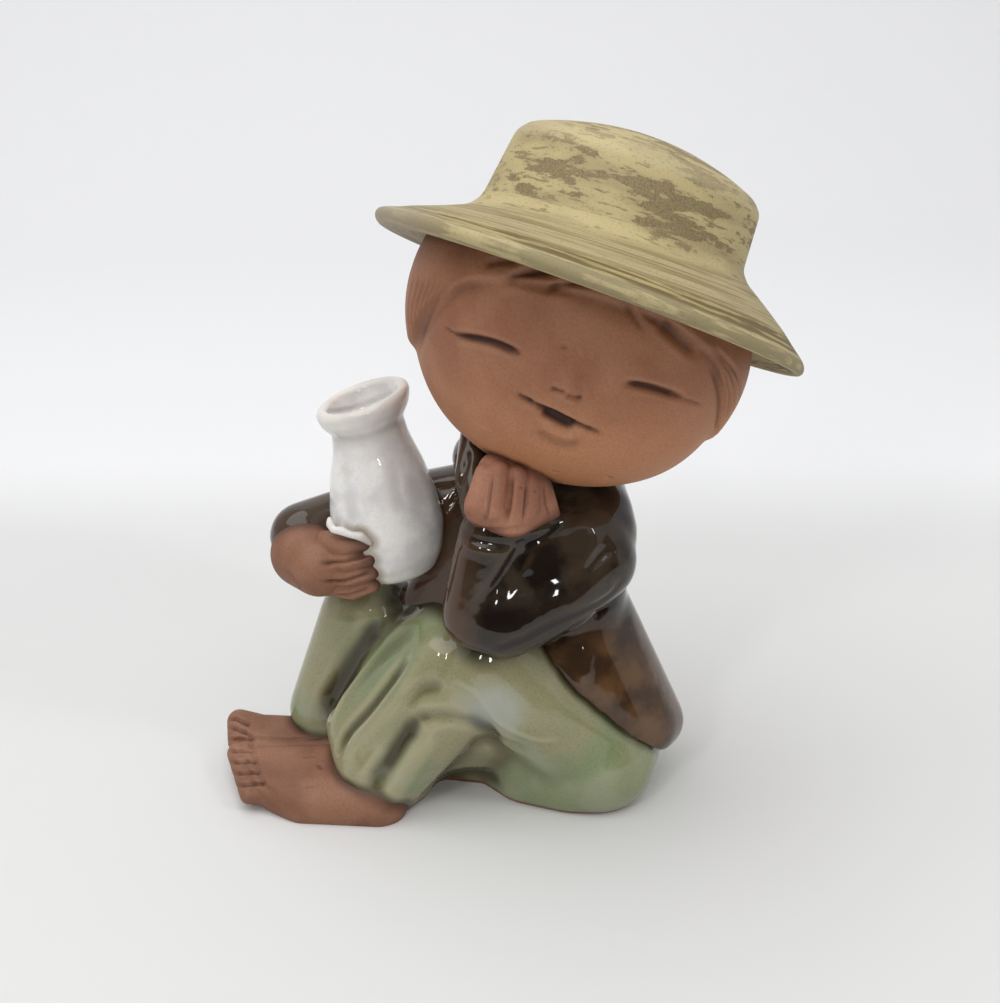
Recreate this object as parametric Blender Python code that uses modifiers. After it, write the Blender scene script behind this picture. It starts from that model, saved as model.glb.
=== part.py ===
"""Seated child figurine: one slip-cast pottery piece, hollow, with a drain hole in its base.

Sizes are written in millimetres and turned to metres by mm(). The child sits facing -X and
turns its face to -Y. +Z is up, and the figurine stands on the plane z = 0. The soft body is
built the way a modeller works in clay: fat rolls and balls are laid together, the joins are
smoothed over, and the face, hair, fingers, toes and folds are then carved into the surface.
"""
import math

import bmesh
import bpy
import numpy as np
from mathutils import Matrix, Vector
from mathutils.bvhtree import BVHTree

MM = 0.001

# Hat, in its own frame: +Z is the hat's axis and z = 0 is where the crown meets the brim.
HAT_SEAT = (28.2, 0.0, 166.0)
HAT_ROLL = 16.5
HAT_PITCH = 17.5
CROWN_BASE_R = 37.5
CROWN_TOP_R = 34.0
CROWN_HEIGHT = 22.6
CROWN_DOME = 8.0
CROWN_LEAN = 2.8
CROWN_TILT = 4.0
BRIM_R = 60.4
BRIM_SHIFT = -1.2
BRIM_DROP = 13.3
BRIM_THICKNESS = 4.6
BRIM_SKEW = 5.0
HAT_DEPTH = 7.0

# Head: an egg that droops to its lower right cheek. The face has its own frame, in which
# -Y is where it looks, +X its left to right as seen, and +Z up along the nose.
HEAD_CENTRE = (21.5, 1.0, 144.0)
HEAD_RADII = (48.3, 41.8, 42.5)
HEAD_DROOP = 27.0
FACE_ROLL = 16.0
FACE_PITCH = 15.0
FACE_YAW = 5.5
HAIR_RISE = 1.4
HAIR_EDGE = 2.2
FACE_HALF_WIDTH = 41.5
FACE_TEMPLE = -16.0
FACE_TOP = 9.0

# Jug, turned about its own axis.
JUG_FOOT = (-30.2, 6.0, 67.5)
JUG_LEAN = 9.0
JUG_HEIGHT = 55.5
JUG_BODY_R = 16.5
JUG_NECK_R = 10.4
JUG_MOUTH_R = 13.4
JUG_MOUTH_TILT = 9.0
JUG_WALL = 3.0

# The cast wall, and the hole in the seat that the slip was drained through.
WALL = 4.2
DRAIN_HOLE_R = 5.5
DRAIN_HOLE_AT = (32.0, 14.0)

# How finely the clay is worked, and how many faces the finished surfaces keep.
CLAY_GRAIN = 1.0
CLAY_SMOOTHING = 5
OUTER_FACES = 9700
INNER_FACES = 800
CARVING_KEPT = 0.6
BALL_SEGMENTS = 24
BALL_RINGS = 16
TURNED_STEPS = 96
BORED_STEPS = 48

# Colour and roughness of each finish.
FINISHES = {
    "hat": ((0.55, 0.47, 0.22), 0.75),
    "head": ((0.36, 0.13, 0.07), 0.7),
    "jug": ((0.72, 0.70, 0.66), 0.12),
    "trousers": ((0.20, 0.23, 0.13), 0.12),
    "jacket": ((0.035, 0.022, 0.016), 0.08),
    "hands": ((0.36, 0.13, 0.07), 0.7),
    "feet": ((0.33, 0.12, 0.06), 0.7),
    "bare_clay": ((0.36, 0.13, 0.07), 0.85),
}


def mm(*values):
    """Millimetres to a vector in metres."""
    return Vector(values) * MM


def turned(roll=0.0, pitch=0.0, yaw=0.0):
    """Roll leans the top to +X, pitch leans it back to +Y, and yaw turns the front to -X."""
    return (
        Matrix.Rotation(math.radians(roll), 4, "Y")
        @ Matrix.Rotation(math.radians(-pitch), 4, "X")
        @ Matrix.Rotation(math.radians(-yaw), 4, "Z")
    )


HAT_POSE = Matrix.Translation(mm(*HAT_SEAT)) @ turned(HAT_ROLL, HAT_PITCH)
HEAD_POSE = Matrix.Translation(mm(*HEAD_CENTRE)) @ turned(HEAD_DROOP, FACE_PITCH)
FACE_POSE = Matrix.Translation(mm(*HEAD_CENTRE)) @ turned(FACE_ROLL, FACE_PITCH, FACE_YAW)
JUG_POSE = Matrix.Translation(mm(*JUG_FOOT)) @ turned(-JUG_LEAN)

# Each form is the hull of a few balls: (x, y, z, radius) in millimetres.
TROUSERS = {
    "seat": [(29, -8, 13, 18), (29, 14, 13, 18), (22, 4, 32, 18), (35, 3, 12, 15), (22, -9.5, 8, 13.5)],
    "near_thigh": [(24, -8, 20, 17), (-3, -15, 49, 13), (8, -14, 36, 15)],
    "near_calf": [(-14, -15, 34, 12), (4, -14, 34, 13), (-4, -15, 44, 13)],
    "near_shin": [(-4, -15, 48, 13), (-34, -13, 12, 13.5), (-37, -9, 22, 11)],
    "far_thigh": [(24, 15, 20, 16), (-38, 15, 50, 12)],
    "far_shin": [(-42, 15, 49, 12.5), (-54, 15, 15, 12)],
    "web": [(-28, 7, 4, 9), (14, 6, 4, 11), (-6, 4, 28, 13), (-26, 4, 26, 10)],
    "web_near": [(-4, -8, 34, 13), (-18, -8, 24, 12), (10, -8, 26, 13)],
    "web_far": [(-10, 13, 34, 12), (-38, 13, 26, 11), (10, 13, 26, 13)],
    "lap": [(0, -6, 44, 12), (-30, 8, 47, 11), (18, 6, 34, 16)],
    "between_knees": [(-22, 2, 50, 10), (-42, 5, 24, 9), (-10, 0, 50, 10), (-30, 2, 24, 9)],
}
JACKET = {
    "chest": [(20, 1, 58, 17), (21, 5, 84, 17), (2, 4, 98, 13), (2, 3, 64, 16)],
    "collar": [(-5, 7, 103, 9), (6, -8, 100, 8), (28, -4, 90, 10), (26, 14, 92, 10), (6, 16, 98, 9)],
    "shoulders": [(26, -7, 86, 13), (8, 14, 88, 12), (25, 9, 86, 12)],
    "near_upper_arm": [(26, -15, 82, 12.5), (0, -26, 71, 9.5), (16, -23, 76, 11.5)],
    "near_forearm": [(-6.5, -24, 70, 9.5), (-3, -21, 92, 8.5), (9, -21, 92, 8.5)],
    "elbow_web": [(-2, -21, 72, 10), (2, -18, 90, 8), (18, -18, 86, 10)],
    "far_upper_arm": [(0, 16, 88, 11), (-28, 21, 82, 9.5), (-48, 18, 78, 9.5)],
    "far_forearm": [(-48, 18, 78, 9.5), (-58, 10, 77, 10)],
    "jacket_lap": [(-22, 8, 55, 9), (4, 0, 60, 14), (-6, 6, 80, 10)],
    "neck": [(12, 4, 98, 13), (18, 2, 112, 15)],
}
SKIRT = [(23.5, 4, 54, 16), (47, 0, 20, 9), (45, 12, 20, 9), (20, -7, 40, 15), (20, 15, 40, 15),
         (34, -7.5, 26, 13), (34, 15, 26, 13)]
HEM_AT = (32.0, 4.0, 31.5)
HEM_SLOPE = 45.0
HANDS = {
    "near_fist": [(-2.5, -24, 101, 8), (9.5, -23, 101, 8), (-1, -22, 110, 7), (10, -20, 110, 7)],
    "far_palm": [(-57, 4, 74, 10), (-52, -2, 73, 9)],
    "far_fingers": [(-50, -5, 72, 6.5), (-41, -9, 76, 4), (-41, -9, 69, 4)],
}
FEET = {
    "near_foot": [(-36, -19, 4, 9), (-38, -6, 5, 9), (-58, -19, 3, 7), (-70, -15, 5, 5), (-75, -3, 6, 5)],
    "far_foot": [(-42, 7, 4, 8), (-42, 11, 4, 8), (-77, 6, 7, 5), (-77, 13, 8, 5)],
}
# A row of toes runs from its first ball to its last: (first, last, how many).
TOES = {
    "near_toe": ((-80.5, 0.5, 7.5, 3.3), (-74.5, -18, 5.0, 2.6), 5),
    "far_toe": ((-82.0, 15.5, 9.5, 4.0), (-81.0, 6.5, 8.0, 3.5), 2),
}
TOE_LENGTH = 7.0


# Carved strokes, drawn on the clay as seen from one side. Each is the side, the points
# (right, up) in millimetres that a smooth line runs through, the tool's width, and how deep
# it goes; a negative depth adds clay.
VIEWS = {
    "face": FACE_POSE,
    "front": Matrix.Identity(4),
    "left": Matrix.Rotation(math.radians(-90), 4, "Z"),
    "back": Matrix.Rotation(math.radians(180), 4, "Z"),
    "top": Matrix.Rotation(math.radians(-90), 4, "X"),
}
STROKES = [
    ("face", [(-36, -8.8), (-32, -10), (-27, -9.3), (-20, -9.2), (-13.5, -10.2)], 1.9, 1.1),
    ("face", [(36, -10.4), (27, -8.8), (20, -8.2), (13.5, -9.4)], 1.9, 1.1),
    ("face", [(0, -11.0), (0.2, -14)], 4.4, -1.9),
    ("face", [(-2.4, -15.8), (-1.6, -16)], 1.5, 1.0),
    ("face", [(2.0, -16.2), (2.8, -16.2)], 1.5, 1.0),
    ("face", [(-11, -20.8), (-7, -21.8), (-2, -23), (2, -23.6), (6.5, -24.4), (11, -24)], 1.8, 1.5),
    ("face", [(-3, -23.8), (2, -24.6)], 1.8, 0.8),
    ("face", [(-5, -27.5), (0, -29), (5, -28.5)], 3.0, -0.8),
    ("front", [(-4, 113), (-4, 103)], 1.3, 1.0),
    ("front", [(1.5, 114), (1.2, 102)], 1.3, 1.0),
    ("front", [(6.6, 113), (6.6, 103)], 1.3, 1.0),
    ("front", [(11.8, 111), (11.2, 104)], 1.3, 1.0),
    ("front", [(-46, 78.5), (-42, 79), (-37.5, 81)], 1.3, 1.0),
    ("front", [(-46.5, 74.3), (-42, 75), (-37.5, 76)], 1.3, 1.0),
    ("front", [(-45, 69.8), (-37.5, 71.8)], 1.3, 1.0),
    ("front", [(4, 93), (1, 86), (-2, 78)], 3.0, 1.8),
    ("front", [(-8, 97), (-4, 94), (4, 94), (10, 96.5), (17, 96)], 2.0, 0.9),
    ("front", [(-32, 52), (-41, 42), (-45, 34), (-50, 24), (-53, 16)], 4.0, 1.6),
    ("front", [(-21, 60), (-32, 48), (-43, 33)], 3.0, -0.8),
    ("front", [(-31, 42), (-38, 35), (-45, 26), (-49, 15)], 3.0, 1.1),
    ("front", [(-28, 26), (-34, 18), (-39, 11)], 4.5, 2.2),
    ("front", [(-26, 35), (-17, 38), (-5, 35), (8, 29)], 4.0, 1.0),
    ("front", [(-8, 54), (-20, 42), (-26, 35)], 3.5, 0.8),
    ("top", [(-84, 11.5), (-77, 9.5)], 1.4, 1.0),
    ("top", [(-84, 4.2), (-75, 3.2), (-64, 2.5)], 1.6, 1.2),
    ("top", [(-83, -1.8), (-76, -2.6)], 1.3, 0.9),
    ("top", [(-82, -6.6), (-75, -7.4)], 1.3, 0.9),
    ("top", [(-80, -11.2), (-73.5, -12)], 1.3, 0.9),
    ("top", [(-78, -15.2), (-72, -16)], 1.3, 0.9),
]


def object_from(name, bm):
    mesh = bpy.data.meshes.new(name)
    bm.to_mesh(mesh)
    bm.free()
    obj = bpy.data.objects.new(name, mesh)
    bpy.context.scene.collection.objects.link(obj)
    return obj


def settled(obj):
    """The object with its modifiers applied."""
    graph = bpy.context.evaluated_depsgraph_get()
    mesh = bpy.data.meshes.new_from_object(obj.evaluated_get(graph))
    obj.modifiers.clear()
    obj.data = mesh
    return obj


def hull(name, balls, inset=0.0):
    """The convex hull of balls, each made smaller by inset."""
    bm = bmesh.new()
    for x, y, z, radius in balls:
        bmesh.ops.create_uvsphere(
            bm, u_segments=BALL_SEGMENTS, v_segments=BALL_RINGS,
            radius=(radius - inset) * MM, matrix=Matrix.Translation(mm(x, y, z)))
    bmesh.ops.delete(bm, geom=bm.edges[:], context="EDGES_FACES")
    done = bmesh.ops.convex_hull(bm, input=bm.verts, use_existing_faces=False)
    loose = {g for g in done["geom_interior"] + done["geom_unused"] if isinstance(g, bmesh.types.BMVert)}
    bmesh.ops.delete(bm, geom=list(loose), context="VERTS")
    bmesh.ops.recalc_face_normals(bm, faces=bm.faces)
    return object_from(name, bm)


def toe_forms():
    """Each toe is a short roll that runs back into its foot."""
    forms = {}
    for row, (first, last, count) in TOES.items():
        for number, share in enumerate(np.linspace(0, 1, count)):
            x, y, z, radius = (a + (b - a) * share for a, b in zip(first, last))
            forms[f"{row}_{number}"] = [(x, y, z, radius), (x + TOE_LENGTH, y * 0.9, z - 1.5, radius)]
    return forms


def trimmed(obj, at, normal):
    """The solid cut flat: what lies against the normal is cut away and the cut is closed."""
    bm = bmesh.new()
    bm.from_mesh(obj.data)
    geom = bm.verts[:] + bm.edges[:] + bm.faces[:]
    cut = bmesh.ops.bisect_plane(bm, geom=geom, plane_co=at, plane_no=normal, clear_inner=True)
    rim = [g for g in cut["geom_cut"] if isinstance(g, bmesh.types.BMEdge)]
    bmesh.ops.holes_fill(bm, edges=rim)
    bmesh.ops.recalc_face_normals(bm, faces=bm.faces)
    bm.to_mesh(obj.data)
    bm.free()
    return obj


def turned_profile(name, points, steps=TURNED_STEPS):
    """A closed profile of (radius, height) pairs, turned about Z by a Screw modifier, as a mesh."""
    bm = bmesh.new()
    rim = [bm.verts.new(mm(r, 0, z)) for r, z in points]
    for a, b in zip(rim, rim[1:]):
        bm.edges.new((a, b))
    obj = object_from(name, bm)
    screw = obj.modifiers.new("turn", "SCREW")
    screw.steps = screw.render_steps = steps
    screw.use_merge_vertices = True
    screw.merge_threshold = 0.00001
    mesh = settled(obj).data
    bm = bmesh.new()
    bm.from_mesh(mesh)
    bmesh.ops.remove_doubles(bm, verts=bm.verts, dist=0.00001)
    bmesh.ops.recalc_face_normals(bm, faces=bm.faces)
    bm.to_mesh(mesh)
    bm.free()
    return obj


def arc(centre, radius, start, end, count):
    """Points on an arc, as (radius, height) pairs; angles in degrees from +radius towards +height."""
    angles = np.radians(np.linspace(start, end, count))
    return [(centre[0] + radius * math.cos(a), centre[1] + radius * math.sin(a)) for a in angles]


def smooth_step(share):
    share = np.clip(share, 0.0, 1.0)
    return share * share * (3.0 - 2.0 * share)


def hat_blank(inset=0.0):
    """The hat, or with an inset the hollow inside its crown."""
    half = BRIM_THICKNESS / 2
    top_r = CROWN_TOP_R - inset
    crown = [(top_r * s, CROWN_HEIGHT + CROWN_DOME * (1 - s * s) - inset) for s in np.linspace(0, 0.93, 9)]
    if inset:
        crown += [(top_r, CROWN_HEIGHT - 1.5 - inset), (CROWN_BASE_R - 1.5 - inset, -HAT_DEPTH), (0.0, -HAT_DEPTH)]
    else:
        crown += [(top_r, CROWN_HEIGHT - 1.5), (CROWN_BASE_R - 1.5, 4.0), (CROWN_BASE_R + 1.0, 0.8)]
        crown += arc((BRIM_R - half, -BRIM_DROP), half, 60, -120, 9)
        crown += [(CROWN_BASE_R - 2.0, -HAT_DEPTH), (0.0, -HAT_DEPTH)]
    hat = turned_profile("hat", crown)
    for v in hat.data.vertices:
        out = max(math.hypot(v.co.x, v.co.y) / MM - CROWN_BASE_R, 0) / (BRIM_R - CROWN_BASE_R)
        up = max(v.co.z / MM, 0) / CROWN_HEIGHT
        v.co.z -= v.co.x * math.tan(math.radians(CROWN_TILT)) * min(up, 1)
        v.co.z -= BRIM_SKEW * out * v.co.x / BRIM_R
        v.co.x += (CROWN_LEAN * up + BRIM_SHIFT * out) * MM
    hat.data.transform(HAT_POSE)
    return hat


def hair_share(points):
    """How much of the hair's thickness each point of the head carries: 0 on the face, 1 on the hair."""
    turn = np.array(FACE_POSE.inverted())
    local = (points @ turn[:3, :3].T + turn[:3, 3]) / MM
    across = np.abs(local[:, 0]) / FACE_HALF_WIDTH
    above = np.maximum(local[:, 2] - FACE_TEMPLE, 0) / (FACE_TOP - FACE_TEMPLE)
    beyond = ((across ** 2.5 + above ** 2.5) ** 0.4 - 1) * FACE_HALF_WIDTH
    behind = local[:, 1] - 4.0
    return smooth_step(np.maximum(beyond, behind) / HAIR_EDGE + 0.5)


def head_blank(inset=0.0):
    bm = bmesh.new()
    bmesh.ops.create_uvsphere(bm, u_segments=160, v_segments=120, radius=1.0)
    radii = [(radius - HAIR_RISE - inset) * MM for radius in HEAD_RADII]
    bmesh.ops.scale(bm, vec=radii, verts=bm.verts)
    bmesh.ops.transform(bm, matrix=HEAD_POSE, verts=bm.verts)
    if not inset:
        share = hair_share(np.array([v.co for v in bm.verts]))
        bm.normal_update()
        for v, rise in zip(bm.verts, share):
            v.co += v.normal * HAIR_RISE * MM * rise
    head = object_from("head", bm)
    under_brim = HAT_POSE @ mm(0, 0, 0.5 - HAT_DEPTH)
    return head if inset else trimmed(head, under_brim, HAT_POSE.to_3x3() @ Vector((0, 0, -1)))


def jug_form(name, points, steps=TURNED_STEPS):
    jug = turned_profile(name, points, steps)
    for v in jug.data.vertices:
        v.co.z += v.co.x * math.tan(math.radians(JUG_MOUTH_TILT)) * (v.co.z / (JUG_HEIGHT * MM)) ** 3
    jug.data.transform(JUG_POSE)
    return jug


def jug_blank():
    """The jug's outside, closed over the mouth; its inside is bored out at the end."""
    lip_r = (JUG_MOUTH_R - JUG_NECK_R + JUG_WALL) / 2
    outside = [
        (JUG_NECK_R, JUG_HEIGHT - 3 * lip_r), (JUG_NECK_R + 0.8, 41), ((JUG_BODY_R + JUG_NECK_R) / 2 + 0.2, 33),
        (JUG_BODY_R - 0.8, 23), (JUG_BODY_R, 15), (JUG_BODY_R - 0.8, 7.5), (JUG_BODY_R - 3.3, 2.5),
        (JUG_BODY_R - 7.5, 0), (0, 0),
    ]
    lip = arc((JUG_MOUTH_R - lip_r, JUG_HEIGHT - lip_r), lip_r, 110, -50, 8)
    return jug_form("jug", [(0, JUG_HEIGHT - 0.6)] + lip + outside)


def jug_bore():
    lip_r = (JUG_MOUTH_R - JUG_NECK_R + JUG_WALL) / 2
    throat = JUG_NECK_R - JUG_WALL
    inner_lip = [(JUG_MOUTH_R - lip_r, JUG_HEIGHT + 3), (JUG_MOUTH_R - lip_r, JUG_HEIGHT - 0.2)]
    inner_lip += [(throat + 0.4 * lip_r, JUG_HEIGHT - 0.7 * lip_r), (throat, JUG_HEIGHT - 2 * lip_r)]
    inside = [
        (throat, JUG_HEIGHT - 3 * lip_r), (throat + 1.0, 38), (JUG_BODY_R - JUG_WALL - 0.8, 24),
        (JUG_BODY_R - JUG_WALL, 14), (JUG_BODY_R - JUG_WALL - 4, 6.0), (0, JUG_WALL + 1),
    ]
    return jug_form("jug_bore", [(0, JUG_HEIGHT + 3)] + inner_lip + inside, BORED_STEPS)


SOFT_FORMS = {"trousers": TROUSERS, "jacket": JACKET, "hands": HANDS, "feet": {**FEET, **toe_forms()}}


def blanks():
    """Every form of the figurine, by the finish that it has."""
    made = {"hat": [hat_blank()], "head": [head_blank()], "jug": [jug_blank()]}
    for finish, forms in SOFT_FORMS.items():
        made[finish] = [hull(name, balls) for name, balls in forms.items()]
    slope = math.radians(HEM_SLOPE)
    made["jacket"].append(trimmed(hull("skirt", SKIRT), mm(*HEM_AT), (math.sin(slope), 0, math.cos(slope))))
    return made


def clear_scene():
    for obj in list(bpy.data.objects):
        bpy.data.objects.remove(obj)


def core_forms():
    """What the slip was drained from: the fat forms and the crown, each a wall's thickness smaller."""
    forms = [form for table in (TROUSERS, JACKET) for form in table.values()]
    cores = [hull("core", balls, WALL) for balls in forms]
    return cores + [head_blank(WALL), hat_blank(WALL)]


def joined(name, objects):
    """Several meshes in one object; the pieces may overlap."""
    bm = bmesh.new()
    for obj in objects:
        bm.from_mesh(obj.data)
        bpy.data.objects.remove(obj)
    return object_from(name, bm)


def worked_clay(obj, grain, smoothing):
    """Overlapping closed forms become one skin, and its joins are smoothed over."""
    remesh = obj.modifiers.new("one_skin", "REMESH")
    remesh.mode = "VOXEL"
    remesh.voxel_size = grain * MM
    smooth = obj.modifiers.new("smoothed_joins", "SMOOTH")
    smooth.factor = 0.5
    smooth.iterations = smoothing
    return settled(obj)


def stroke_line(tree, side, points):
    """A smooth line through the points, laid on the clay as seen from that side."""
    pose = VIEWS[side]
    ends = [points[0]] + list(points) + [points[-1]]
    laid = []
    for before, start, end, after in zip(ends, ends[1:], ends[2:], ends[3:]):
        p0, p1, p2, p3 = (np.array(p, float) for p in (before, start, end, after))
        steps = max(2, int(np.linalg.norm(p2 - p1) / (0.7 * CLAY_GRAIN)))
        for t in np.linspace(0, 1, steps, endpoint=False):
            bend = 2 * p1 + (p2 - p0) * t + (2 * p0 - 5 * p1 + 4 * p2 - p3) * t ** 2
            laid.append(0.5 * (bend + (3 * p1 - p0 - 3 * p2 + p3) * t ** 3))
    laid.append(np.array(points[-1], float))
    look = pose.to_3x3() @ Vector((0, 1, 0))
    hits = [tree.ray_cast(pose @ mm(right, -300, up), look)[0] for right, up in laid]
    return np.array([hit for hit in hits if hit is not None])


def carved(obj):
    """Each stroke moves the clay along its normals, most at the stroke's middle."""
    mesh = obj.data
    count = len(mesh.vertices)
    points = np.empty(count * 3, np.float32)
    mesh.vertices.foreach_get("co", points)
    normals = np.empty(count * 3, np.float32)
    mesh.vertex_normals.foreach_get("vector", normals)
    points, normals = points.reshape(-1, 3), normals.reshape(-1, 3)
    bm = bmesh.new()
    bm.from_mesh(mesh)
    tree = BVHTree.FromBMesh(bm)
    bm.free()
    push = np.zeros(count, np.float32)
    for side, line_points, width, depth in STROKES:
        line = stroke_line(tree, side, line_points)
        reach = width * MM
        near = np.flatnonzero(((points > line.min(0) - reach) & (points < line.max(0) + reach)).all(1))
        gaps = np.linalg.norm(points[near, None] - line[None], axis=2)
        along = gaps.argmin(1) / max(len(line) - 1, 1)
        taper = np.clip(4 * np.minimum(along, 1 - along) + 0.35, 0, 1)
        push[near] += depth * MM * taper * smooth_step(1 - gaps.min(1) / reach)
    points -= normals * push[:, None]
    mesh.vertices.foreach_set("co", points.ravel())
    mesh.update()
    worked = obj.vertex_groups.new(name="worked")
    for index in np.flatnonzero(push):
        worked.add([int(index)], min(1.0, 2 * abs(push[index]) / MM), "REPLACE")
    return obj


def largest_part(obj):
    """Only the largest connected skin of the object is kept."""
    bm = bmesh.new()
    bm.from_mesh(obj.data)
    left = set(bm.verts)
    parts = []
    while left:
        reached = [left.pop()]
        part = list(reached)
        while reached:
            for edge in reached.pop().link_edges:
                for v in edge.verts:
                    if v in left:
                        left.remove(v)
                        reached.append(v)
                        part.append(v)
        parts.append(part)
    parts.sort(key=len)
    for part in parts[:-1]:
        bmesh.ops.delete(bm, geom=part, context="VERTS")
    bm.to_mesh(obj.data)
    bm.free()
    return obj


def reduced(obj, faces):
    """The skin with only so many triangles, fewest where it is flattest."""
    obj.modifiers.new("triangles", "TRIANGULATE")
    settled(obj)
    fewer = obj.modifiers.new("fewer_faces", "DECIMATE")
    fewer.ratio = min(1.0, faces / len(obj.data.polygons))
    fewer.vertex_group = "worked"
    fewer.invert_vertex_group = True
    fewer.vertex_group_factor = CARVING_KEPT
    return settled(obj)


def set_flat(obj, slack=0.25):
    """The foot ring lies flat: vertices within slack millimetres of z = 0 are laid on it."""
    for v in obj.data.vertices:
        if abs(v.co.z) < slack * MM:
            v.co.z = 0.0
    return obj


def finish_trees(forms):
    """A search tree over the blanks of each finish."""
    trees = {}
    for finish, objects in forms.items():
        bm = bmesh.new()
        for obj in objects:
            bm.from_mesh(obj.data)
        trees[finish] = BVHTree.FromBMesh(bm)
        bm.free()
    return trees


def material(name, colour, roughness):
    made = bpy.data.materials.new(name)
    made.use_nodes = True
    shader = made.node_tree.nodes["Principled BSDF"]
    shader.inputs["Base Color"].default_value = (*colour, 1.0)
    shader.inputs["Roughness"].default_value = roughness
    return made


def finished(obj, trees):
    """Each face takes the finish of the blank that it lies nearest to."""
    for finish in trees:
        obj.data.materials.append(material(finish, *FINISHES[finish]))
    for face in obj.data.polygons:
        gaps = [tree.find_nearest(face.center)[3] for tree in trees.values()]
        face.material_index = gaps.index(min(gaps))
        face.use_smooth = True


def cut_out(body, cutter, collection):
    """The cutter is kept as a wire guide, and the body is cut by it."""
    cutter.data.materials.append(material("bare_clay", *FINISHES["bare_clay"]))
    cutter.hide_render = True
    cutter.display_type = "WIRE"
    bpy.context.scene.collection.objects.unlink(cutter)
    collection.objects.link(cutter)
    cut = body.modifiers.new("cut_" + cutter.name, "BOOLEAN")
    cut.operation = "DIFFERENCE"
    cut.solver = "EXACT"
    cut.object = cutter


def drain_hole():
    bm = bmesh.new()
    bmesh.ops.create_cone(
        bm, cap_ends=True, segments=32, radius1=DRAIN_HOLE_R * MM, radius2=DRAIN_HOLE_R * MM,
        depth=4 * WALL * MM, matrix=Matrix.Translation(mm(*DRAIN_HOLE_AT, 0)))
    return object_from("drain_hole", bm)


def new_collection(name):
    made = bpy.data.collections.get(name) or bpy.data.collections.new(name)
    if made.name not in bpy.context.scene.collection.children:
        bpy.context.scene.collection.children.link(made)
    return made


def main():
    clear_scene()
    figurine = new_collection("seated_child_figurine")
    cutters = new_collection("cutters")
    forms = blanks()
    trees = finish_trees(forms)
    body = joined("figurine", [obj for group in forms.values() for obj in group])
    carved(worked_clay(body, CLAY_GRAIN, CLAY_SMOOTHING))
    trimmed(body, mm(0, 0, 0), (0, 0, 1))
    set_flat(reduced(body, OUTER_FACES))
    finished(body, trees)
    bpy.context.scene.collection.objects.unlink(body)
    figurine.objects.link(body)

    core = worked_clay(joined("core", core_forms()), 2 * CLAY_GRAIN, CLAY_SMOOTHING)
    trimmed(core, mm(0, 0, WALL), (0, 0, 1))
    reduced(largest_part(core), INNER_FACES)
    for cutter in (core, jug_bore(), drain_hole()):
        cut_out(body, cutter, cutters)


if __name__ == "__main__":
    main()
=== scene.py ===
# %% [markdown]
# Seated child figurine in slip-cast pottery. The real one is a single hollow casting. Its skin
# is left bare on the face, hands and feet, brushed with matt slip on the hat, and glazed on the
# jug, the jacket and the trousers. Here each finish is a mesh of its own, laid over the packed
# solid in the same place, because a glaze ends in a step with a clean edge.

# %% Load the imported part
import math

import bmesh
import bpy
import numpy as np
from mathutils import Matrix, Vector
from mathutils.bvhtree import BVHTree


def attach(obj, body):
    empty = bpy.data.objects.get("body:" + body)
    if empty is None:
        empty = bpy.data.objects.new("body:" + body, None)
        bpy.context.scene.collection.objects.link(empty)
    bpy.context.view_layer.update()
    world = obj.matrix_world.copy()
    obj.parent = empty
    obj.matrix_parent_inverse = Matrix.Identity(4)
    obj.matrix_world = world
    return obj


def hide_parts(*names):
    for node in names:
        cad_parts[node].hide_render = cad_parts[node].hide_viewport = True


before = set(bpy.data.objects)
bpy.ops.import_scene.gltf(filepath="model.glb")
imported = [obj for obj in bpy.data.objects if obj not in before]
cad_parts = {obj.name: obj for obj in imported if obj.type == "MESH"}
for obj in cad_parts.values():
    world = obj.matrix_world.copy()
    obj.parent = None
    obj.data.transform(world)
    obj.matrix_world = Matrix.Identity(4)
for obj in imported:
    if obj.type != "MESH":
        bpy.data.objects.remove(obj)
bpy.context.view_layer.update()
MM = 0.001


def mm(*values):
    """Millimetres to a vector in metres."""
    return Vector(values) * MM


# %% [markdown]
# The camera stands 45 cm from the figurine and looks 24 degrees down. The lens follows from the
# size of the figurine in the photograph, which is 1000 by 1003 pixels.

# %% Camera
CAMERA_AWAY = 450.0
CAMERA_DOWN = 24.0
LOOKS_AT = (0.0, 0.0, 92.4)
LENS = 56.7
SENSOR_WIDTH = 36.0

down = math.radians(CAMERA_DOWN)
camera = bpy.data.objects.new("camera", bpy.data.cameras.new("camera"))
bpy.context.scene.collection.objects.link(camera)
camera.location = mm(*LOOKS_AT) + mm(0, -CAMERA_AWAY * math.cos(down), CAMERA_AWAY * math.sin(down))
camera.rotation_euler = (math.pi / 2 - down, 0, 0)
camera.data.lens = LENS
camera.data.sensor_width = SENSOR_WIDTH
camera.data.clip_start = 0.01
bpy.context.scene.camera = camera
print("camera at, mm:", [round(v / MM, 1) for v in camera.location])

# %% [markdown]
# Soft clay forms are joined rolls and balls. Each roll here is the convex hull of a few balls,
# given as (x, y, z, radius) in millimetres. A voxel remesh turns the overlapping rolls into one
# skin, and a Smooth modifier works the joins over, as a thumb does. Metaballs would blend too,
# but their joins swell, and hulls keep the flat places between two balls.

# %% Clay
BALL_SEGMENTS = 32
BALL_RINGS = 20


def object_from(name, bm):
    mesh = bpy.data.meshes.new(name)
    bm.to_mesh(mesh)
    bm.free()
    obj = bpy.data.objects.new(name, mesh)
    bpy.context.scene.collection.objects.link(obj)
    return obj


def settled(obj):
    """The object with its modifiers applied."""
    graph = bpy.context.evaluated_depsgraph_get()
    mesh = bpy.data.meshes.new_from_object(obj.evaluated_get(graph))
    obj.modifiers.clear()
    obj.data = mesh
    return obj


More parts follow.
